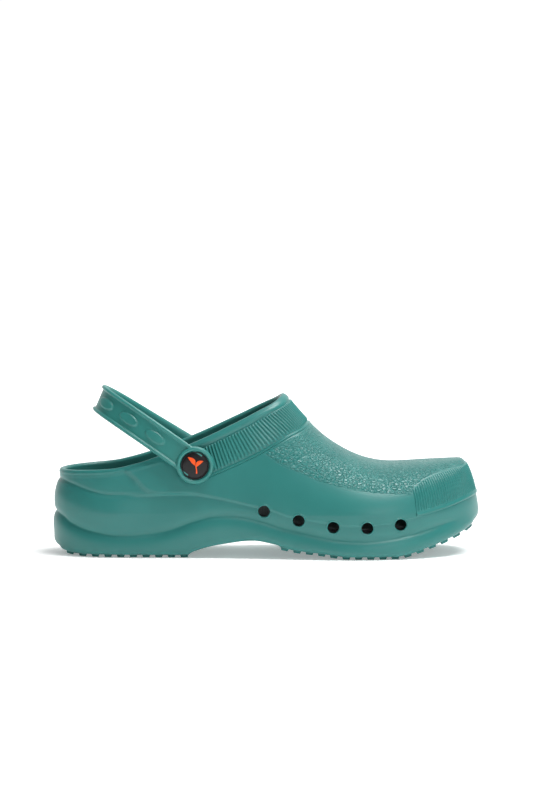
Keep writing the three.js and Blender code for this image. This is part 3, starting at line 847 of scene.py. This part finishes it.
outsole = dict(
    plate=1.3,
    depth=3.3,
    lugLength=5.4,
    channel=0.045,                  # of the pad's width, between the blocks of a row
    inset=4.9,                      # from the widest outline
    air=0.3,                        # between the midsole and the pad
)
pads = dict(                        # lugs start at firstRow, in rows one pitch apart
    heel=dict(start=-138.2, end=-52.3, firstRow=-132.8, rows=10, pitch=8.6),
    forefoot=dict(start=9.9, end=139, firstRow=13.0, rows=16, pitch=8.25),
)


def padEdges(x, angleCount=1200):
    # The y of a pad's two edges at each station.
    angle = evenAngles(angleCount)
    reach = reachAlong(angle, insidePlan, 240)
    ring = np.stack([last["fanX"] + reach * np.cos(angle), reach * np.sin(angle), 0 * angle], axis=-1)
    ring = ring - planNormals(ring) * outsole["inset"]
    edges = []
    for side in (-1, 1):
        part = ring[(ring[:, 1] * side) > 0]
        part = part[np.argsort(part[:, 0])]
        edges.append(np.interp(x, part[:, 0], part[:, 1]))
    return edges


def buildOutsole(name, start, end, firstRow, rows, pitch):
    # A plate that follows the midsole's underside, with lugs that stand out square to it.
    # Stations and places across crowd together at the lugs' edges, so their walls are steep.
    half = outsole["lugLength"] / 2
    offsets = np.array([-half, 0.5 - half, 1.1 - half, 0, half - 1.1, half - 0.5, half])
    centres = firstRow + np.arange(rows) * pitch
    lugEdges = (centres[:, None] + offsets).ravel()
    fromEnd = np.linspace(0, 1, 8) ** 2 * 8
    x = np.unique(np.concatenate([lugEdges, lugEdges + pitch / 2, start + fromEnd, end - fromEnd]))
    x = x[(x >= start) & (x <= end)]
    right, left = padEdges(x)
    gap = outsole["channel"]
    block = (1 - 3 * gap) / 4
    steps = np.array([0, 0.005, 0.012, block / 2, block - 0.012, block - 0.005, block])
    across = np.unique((np.arange(4)[:, None] * (block + gap) + steps).ravel())
    gridX, gridB = np.meshgrid(x, across, indexing="ij")
    gridY = right[:, None] + (left - right)[:, None] * gridB
    stagger = np.floor(gridB / (block + gap)).astype(int) % 2 * pitch / 2
    phase = np.abs(gridX[..., None] - stagger[..., None] - centres).min(axis=-1)
    within = np.abs(gridB[..., None] - (np.arange(4) * (block + gap) + block / 2)).min(axis=-1)
    lugs = (1 - smooth(half - 0.55, half - 0.02, phase)) * (
        1 - smooth(block / 2 - 0.006, block / 2 - 0.0002, within))
    slope = np.arctan(underside(gridX + 0.5) - underside(gridX - 0.5))
    deep = outsole["plate"] + (outsole["depth"] - outsole["plate"] - outsole["air"]) * lugs
    top = np.stack([gridX, gridY, underside(gridX) - outsole["air"]], axis=-1)
    foot = top + np.stack([deep * np.sin(slope), 0 * deep, -deep * np.cos(slope)], axis=-1)
    foot[..., 2] = np.maximum(foot[..., 2], 0)
    obj = closedSlab(name, top, foot)
    fixNormals(obj)
    return obj


insole = dict(
    edge=8.0,                       # from the widest outline
    foam=4.5,                       # thickness of each layer
    cover=1.1,
    air=0.3,                        # between them
    cup=1.8,                        # how far the border curls up round the heel
)


def insoleLayer(name, low, high, edge, columns=300):
    # A slab over the footbed with a rounded border that curls up beside the wall.
    angle = evenAngles(columns)
    reach = reachAlong(angle, insidePlan, 240)
    outline = np.stack([last["fanX"] + reach * np.cos(angle), reach * np.sin(angle),
                        np.zeros(columns)], axis=-1)
    outward = planNormals(outline)
    centre = np.array([last["fanX"], 0, 0])
    parts = np.linspace(0.02, 1, 46)

    def face(z, inset):
        ring = outline - outward * inset
        grid = centre + (ring - centre)[:, None, :] * parts[None, :, None]
        fromEdge = (1 - parts)[None, :] * np.linalg.norm(ring - centre, axis=-1)[:, None]
        curl = insole["cup"] * np.exp(-(fromEdge / 7) ** 2) * (1 - smooth(-40, 30, grid[..., 0]))
        grid[..., 2] = insoleTop(grid[..., 0]) + z + curl
        return grid

    under, over = face(low, edge), face(high, edge)
    middle = (under[:, -1:] + over[:, -1:]) / 2 + outward[:, None, :] * min((high - low) / 3, 0.7)
    grid = np.concatenate([under, middle, over[:, ::-1]], axis=1)
    middleZ = insoleTop(centre[0])
    first, final = centre + [0, 0, middleZ + low], centre + [0, 0, middleZ + high]
    return closedRings(name, grid, first, final)


def linear(hexColour):
    # sRGB hex to linear RGBA
    channels = [int(hexColour[i:i + 2], 16) / 255 for i in (0, 2, 4)]
    return [c / 12.92 if c <= 0.04045 else ((c + 0.055) / 1.055) ** 2.4 for c in channels] + [1.0]


def addNode(material, kind, inputs=None, **settings):
    # A node with its settings; inputs that are sockets are linked, others are set.
    node = material.node_tree.nodes.new(kind)
    for name, value in settings.items():
        setattr(node, name, value)
    for socket, value in (inputs or {}).items():
        if isinstance(value, bpy.types.NodeSocket):
            material.node_tree.links.new(value, node.inputs[socket])
        else:
            node.inputs[socket].default_value = value
    return node


def newMaterial(name):
    # An empty material and its surface shader.
    material = bpy.data.materials.new(name)
    material.use_nodes = True
    return material, material.node_tree.nodes["Principled BSDF"]


def mottled(material, place, low, high, scale, detail=3.0):
    # Two close shades of one colour in slow, soft patches.
    noise = addNode(material, "ShaderNodeTexNoise",
                    {"Vector": place, "Scale": scale, "Detail": detail, "Roughness": 0.6})
    ramp = addNode(material, "ShaderNodeValToRGB", {"Fac": noise.outputs["Fac"]})
    ramp.color_ramp.elements[0].position = 0.32
    ramp.color_ramp.elements[1].position = 0.68
    ramp.color_ramp.elements[0].color = linear(low)
    ramp.color_ramp.elements[1].color = linear(high)
    return ramp.outputs["Color"]


def joinUp(material, shader, values, links):
    # Sets the shader's fixed inputs and links the outputs given for the others.
    for name, value in values.items():
        shader.inputs[name].default_value = value
    for name, output in links.items():
        material.node_tree.links.new(output, shader.inputs[name])
    return material


evaLook = dict(
    low="26726E", high="2A7772",    # the two close shades of the dyed foam
    inner="2F7772",                 # painted light: a lighter colour inside the shoe that lifts the shade falling there
    roughness=0.38,
    ribRoughness=0.34,
    patches=28,                     # slow colour patches to the metre
    fineGrain=1.3,                  # mm, the mould's pebble
    leatherGrain=1.9,               # mm, one cell of the vamp's grain
)
strapLook = dict(low="2B7973", high="307E78", roughness=0.36)
rubberLook = dict(low="246E69", high="287370", roughness=0.62, patches=60, grit=0.625)
liningLook = dict(low="1B1C1F", high="27282C", roughness=0.88, patches=220, thread=1.1)
foamLook = dict(low="2B2C30", high="3A3B40", roughness=0.95, patches=300, cellsPerMetre=1100.0)


def mouldedEva(name, low, high, roughness, grained=False):
    # Moulded EVA foam: a soft satin skin, dyed through, with the fine pebble that the mould
    # leaves; the vamp panel has a leather-like grain of rounded cells with creases between.
    material, shader = newMaterial(name)
    place = addNode(material, "ShaderNodeTexCoord").outputs["Object"]
    colour = mottled(material, place, low, high, evaLook["patches"])
    speck = addNode(material, "ShaderNodeTexNoise", {
        "Vector": place, "Scale": 1 / (evaLook["fineGrain"] * mm), "Detail": 2.0})
    skin = addNode(material, "ShaderNodeBump", {
        "Height": speck.outputs["Fac"], "Strength": 0.16, "Distance": 0.00012})
    links = {"Normal": skin.outputs["Normal"]}
    if grained:
        panel = addNode(material, "ShaderNodeAttribute", attribute_name="grainPanel").outputs["Fac"]
        mask = addNode(material, "ShaderNodeMapRange", {"Value": panel, "From Min": 0.2, "From Max": 1.2})
        stretched = addNode(material, "ShaderNodeMapping", {"Vector": place, "Scale": (0.62, 1.0, 1.0)})
        cells = addNode(material, "ShaderNodeTexVoronoi", {
            "Vector": stretched.outputs["Vector"], "Scale": 1 / (evaLook["leatherGrain"] * mm)},
            feature="DISTANCE_TO_EDGE")
        rounded = addNode(material, "ShaderNodeMapRange", {
            "Value": cells.outputs["Distance"], "From Min": 0.0, "From Max": 0.28},
            interpolation_type="SMOOTHSTEP")
        height = addNode(material, "ShaderNodeMath", {
            0: rounded.outputs["Result"], 1: mask.outputs["Result"]}, operation="MULTIPLY")
        line = addNode(material, "ShaderNodeMath", {0: panel, 1: 0.0, 2: 0.55}, operation="COMPARE")
        lined = addNode(material, "ShaderNodeMath", {
            0: line.outputs["Value"], 1: -1.4, 2: height.outputs["Value"]}, operation="MULTIPLY_ADD")
        grain = addNode(material, "ShaderNodeBump", {
            "Height": lined.outputs["Value"], "Strength": 1.0, "Distance": 0.00055,
            "Normal": skin.outputs["Normal"]})
        crease = addNode(material, "ShaderNodeMapRange", {
            "Value": height.outputs["Value"], "From Min": 0.0, "From Max": 1.0,
            "To Min": roughness, "To Max": evaLook["ribRoughness"]})
        # Painted light: inside the shoe the foam colour is swapped for a lighter one that lifts the shade
        # there.
        inner = addNode(material, "ShaderNodeAttribute", attribute_name="insideShoe").outputs["Fac"]
        shade = addNode(material, "ShaderNodeMix", {
            "Factor": inner, "A": colour, "B": linear(evaLook["inner"])}, data_type="RGBA")
        colour = shade.outputs["Result"]
        links = {"Normal": grain.outputs["Normal"], "Roughness": crease.outputs["Result"]}
    return joinUp(material, shader, {"IOR": 1.48, "Roughness": roughness},
                  {"Base Color": colour, **links})


def mouldedRubber():
    # Moulded outsole rubber: matt, a little darker and bluer than the foam, faintly scuffed.
    material, shader = newMaterial("outsole_moulded_rubber")
    place = addNode(material, "ShaderNodeTexCoord").outputs["Object"]
    colour = mottled(material, place, rubberLook["low"], rubberLook["high"], rubberLook["patches"])
    grit = addNode(material, "ShaderNodeTexNoise", {
        "Vector": place, "Scale": 1 / (rubberLook["grit"] * mm), "Detail": 3.0})
    skin = addNode(material, "ShaderNodeBump", {
        "Height": grit.outputs["Fac"], "Strength": 0.25, "Distance": 0.00015})
    return joinUp(material, shader, {"Roughness": rubberLook["roughness"], "IOR": 1.5},
                  {"Base Color": colour, "Normal": skin.outputs["Normal"]})


def wovenLining():
    # Close-woven polyester lining, a thread every 1.1 mm: two crossed waves give the bumps of
    # the weave, and a soft sheen lightens it where it turns away.
    material, shader = newMaterial("insole_woven_polyester")
    place = addNode(material, "ShaderNodeTexCoord").outputs["Object"]
    heights = []
    for direction in ("X", "Y"):
        wave = addNode(material, "ShaderNodeTexWave", {
            "Vector": place, "Scale": 2 * math.pi / (20 * liningLook["thread"] * mm),
            "Distortion": 0.4, "Detail": 1.0}, wave_type="BANDS", bands_direction=direction)
        heights.append(wave.outputs["Fac"])
    weave = addNode(material, "ShaderNodeMath", {0: heights[0], 1: heights[1]}, operation="MAXIMUM")
    skin = addNode(material, "ShaderNodeBump", {
        "Height": weave.outputs["Value"], "Strength": 0.6, "Distance": 0.0003})
    colour = mottled(material, place, liningLook["low"], liningLook["high"], liningLook["patches"])
    return joinUp(material, shader, {"Roughness": liningLook["roughness"], "Sheen Weight": 0.35,
                                     "Sheen Roughness": 0.5},
                  {"Base Color": colour, "Normal": skin.outputs["Normal"]})


def cellFoam():
    # Open-cell polyurethane foam: dark, dull and finely pitted along its cut edge.
    material, shader = newMaterial("insole_open_cell_foam")
    place = addNode(material, "ShaderNodeTexCoord").outputs["Object"]
    cells = addNode(material, "ShaderNodeTexVoronoi", {
        "Vector": place, "Scale": foamLook["cellsPerMetre"]})
    skin = addNode(material, "ShaderNodeBump", {
        "Height": cells.outputs["Distance"], "Strength": 0.7, "Distance": 0.0003})
    colour = mottled(material, place, foamLook["low"], foamLook["high"], foamLook["patches"])
    return joinUp(material, shader, {"Roughness": foamLook["roughness"]},
                  {"Base Color": colour, "Normal": skin.outputs["Normal"]})


def glossNylon(name, colourHex, roughness, coat=0.0):
    # Moulded nylon or resin: even colour, clear gloss, with faint handling marks.
    material, shader = newMaterial(name)
    place = addNode(material, "ShaderNodeTexCoord").outputs["Object"]
    marks = addNode(material, "ShaderNodeTexNoise", {"Vector": place, "Scale": 420.0, "Detail": 4.0})
    rough = addNode(material, "ShaderNodeMapRange", {
        "Value": marks.outputs["Fac"], "From Min": 0.35, "From Max": 0.7,
        "To Min": roughness, "To Max": roughness + 0.1})
    return joinUp(material, shader, {
        "Base Color": linear(colourHex), "IOR": 1.53, "Specular IOR Level": 0.22,
        "Coat Weight": coat, "Coat Roughness": 0.05}, {"Roughness": rough.outputs["Result"]})


print("camera, floor and light")
view = dict(
    lens=300.0,                     # mm on a 36 mm high sensor
    distance=4.539,
    elevation=5.0,
    aim=(0.001, 0.0, 0.1041),
)
scene = bpy.context.scene
camera = bpy.data.objects.new("camera", bpy.data.cameras.new("camera"))
scene.collection.objects.link(camera)
tilt = math.radians(view["elevation"])
camera.location = (view["aim"][0], view["aim"][1] - view["distance"] * math.cos(tilt),
                   view["aim"][2] + view["distance"] * math.sin(tilt))
camera.rotation_euler = (math.pi / 2 - tilt, 0, 0)
camera.data.lens = view["lens"]
camera.data.sensor_fit = "AUTO"
scene.camera = camera
scene.view_settings.view_transform = "Standard"

lights = dict(
    room=0.14,                      # brightness of the studio on the camera's side
    backdrop=1.05,                  # and of the white wall behind the shoe
    paintedFloorGlow=(0.28, 0.95),         # painted glow of the floor: weak by the shoe, lifting the shade under it, and strong far from it so the floor reads white
    softboxes=dict(
        top=dict(place=(0.4, -0.15, 1.3), size=0.8, power=25.0),
        front=dict(place=(1.0, -2.4, 1.0), size=1.2, power=13.0),
    ),
)
floorMesh = bpy.data.meshes.new("floor")
floorMesh.from_pydata([(-6, -6, 0), (6, -6, 0), (6, 6, 0), (-6, 6, 0)], [], [(0, 1, 2, 3)])
floor = bpy.data.objects.new("floor", floorMesh)
scene.collection.objects.link(floor)
floorMaterial, floorShader = newMaterial("floor_painted_board")
floorShader.inputs["Base Color"].default_value = (0.93, 0.93, 0.93, 1)
floorShader.inputs["Roughness"].default_value = 0.9
floorShader.inputs["Emission Color"].default_value = (1, 1, 1, 1)
# Painted light: the floor glows, weakly by the shoe and fully far from it, lifting the shade under the shoe
# and whitening the far floor.
fromShoe = addNode(floorMaterial, "ShaderNodeVectorMath", {
    0: addNode(floorMaterial, "ShaderNodeTexCoord").outputs["Object"]}, operation="LENGTH")
glow = addNode(floorMaterial, "ShaderNodeMapRange", {
    "Value": fromShoe.outputs["Value"], "From Min": 0.25, "From Max": 1.3,
    "To Min": lights["paintedFloorGlow"][0], "To Max": lights["paintedFloorGlow"][1]})
floorMaterial.node_tree.links.new(glow.outputs["Result"], floorShader.inputs["Emission Strength"])
floorMesh.materials.append(floorMaterial)

world = bpy.data.worlds.new("studio")
scene.world = world
world.use_nodes = True
sky = world.node_tree
direction = sky.nodes.new("ShaderNodeSeparateXYZ")
sky.links.new(sky.nodes.new("ShaderNodeTexCoord").outputs["Generated"], direction.inputs[0])
backdrop = sky.nodes.new("ShaderNodeMapRange")
backdrop.inputs["From Min"].default_value = 0.15
backdrop.inputs["From Max"].default_value = 0.75
backdrop.inputs["To Min"].default_value = lights["room"]
backdrop.inputs["To Max"].default_value = lights["backdrop"]
sky.links.new(direction.outputs["Y"], backdrop.inputs["Value"])
sky.links.new(backdrop.outputs["Result"], sky.nodes["Background"].inputs["Strength"])
sky.nodes["Background"].inputs["Color"].default_value = (1, 1, 1, 1)

for name, box in lights["softboxes"].items():
    lamp = bpy.data.lights.new(name, "AREA")
    lamp.energy = box["power"]
    lamp.size = box["size"]
    obj = bpy.data.objects.new("light_" + name, lamp)
    obj.location = box["place"]
    toward = Vector((0.0, 0.0, 0.04)) - obj.location
    obj.rotation_euler = toward.to_track_quat("-Z", "Y").to_euler()
    scene.collection.objects.link(obj)

print("shell")
shellObject = buildShell()
cutVents(shellObject)
lips = buildVentLips()
print("collar band and toe guard")
bandObject = buildCollarBand()
bumperObject = buildBumper()
print("heel strap and rivets")
strapObject = buildStrap()
hinges = {name: buildHinge(name, side) for name, side in (("right", -1), ("left", 1))}
marks = {name: buildBadgeMark(name, side) for name, side in (("right", -1), ("left", 1))}
print("soles")
treads = {name: buildOutsole(f"{name}_tread", **pad) for name, pad in pads.items()}
foamTop = -insole["cover"] - insole["air"]
foam = insoleLayer("insole_bed", foamTop - insole["foam"], foamTop, insole["edge"])
cover = insoleLayer("insole_lining", -insole["cover"], 0.0, insole["edge"])

print("materials")
shellEva = mouldedEva("shell_moulded_eva", evaLook["low"], evaLook["high"], evaLook["roughness"], True)
trimEva = mouldedEva("ribs_moulded_eva", evaLook["low"], evaLook["high"], evaLook["ribRoughness"])
strapEva = mouldedEva("strap_moulded_eva", **strapLook)
rubber = mouldedRubber()
lining = wovenLining()
cutFoam = cellFoam()
blackNylon = glossNylon("rivet_black_nylon", "151517", 0.3)
blackResin = glossNylon("badge_domed_resin", "0C0C0E", 0.34, 0.2)
orangeInk = glossNylon("badge_screen_ink", "F0561C", 0.4)


def finishPiece(obj, material, body, nodes=()):
    # Gives a piece its material and body, and hides the CAD nodes that it stands for.
    obj.data.materials.clear()
    obj.data.materials.append(material)
    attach(obj, body)
    if nodes:
        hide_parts(*nodes)


finishPiece(shellObject, shellEva, "clog", ["clog_shell"])
finishPiece(lips, trimEva, "clog")
finishPiece(bandObject, trimEva, "clog")
finishPiece(bumperObject, trimEva, "clog")
finishPiece(strapObject, strapEva, "strap", ["heel_strap"])
for name in ("right", "left"):
    finishPiece(hinges[name]["ring"], strapEva, "strap")
    finishPiece(hinges[name]["post"], blackNylon, "clog", [f"rivet_post_{name}"])
    finishPiece(hinges[name]["cap"], blackNylon, "clog", [f"rivet_cap_{name}"])
    finishPiece(hinges[name]["badge"], blackResin, "clog", [f"rivet_badge_{name}"])
    finishPiece(marks[name], orangeInk, "clog")
for name, tread in treads.items():
    finishPiece(tread, rubber, "clog", [f"{name}_outsole"])
finishPiece(foam, cutFoam, "clog", ["insole_foam"])
finishPiece(cover, lining, "clog", ["insole_cover"])
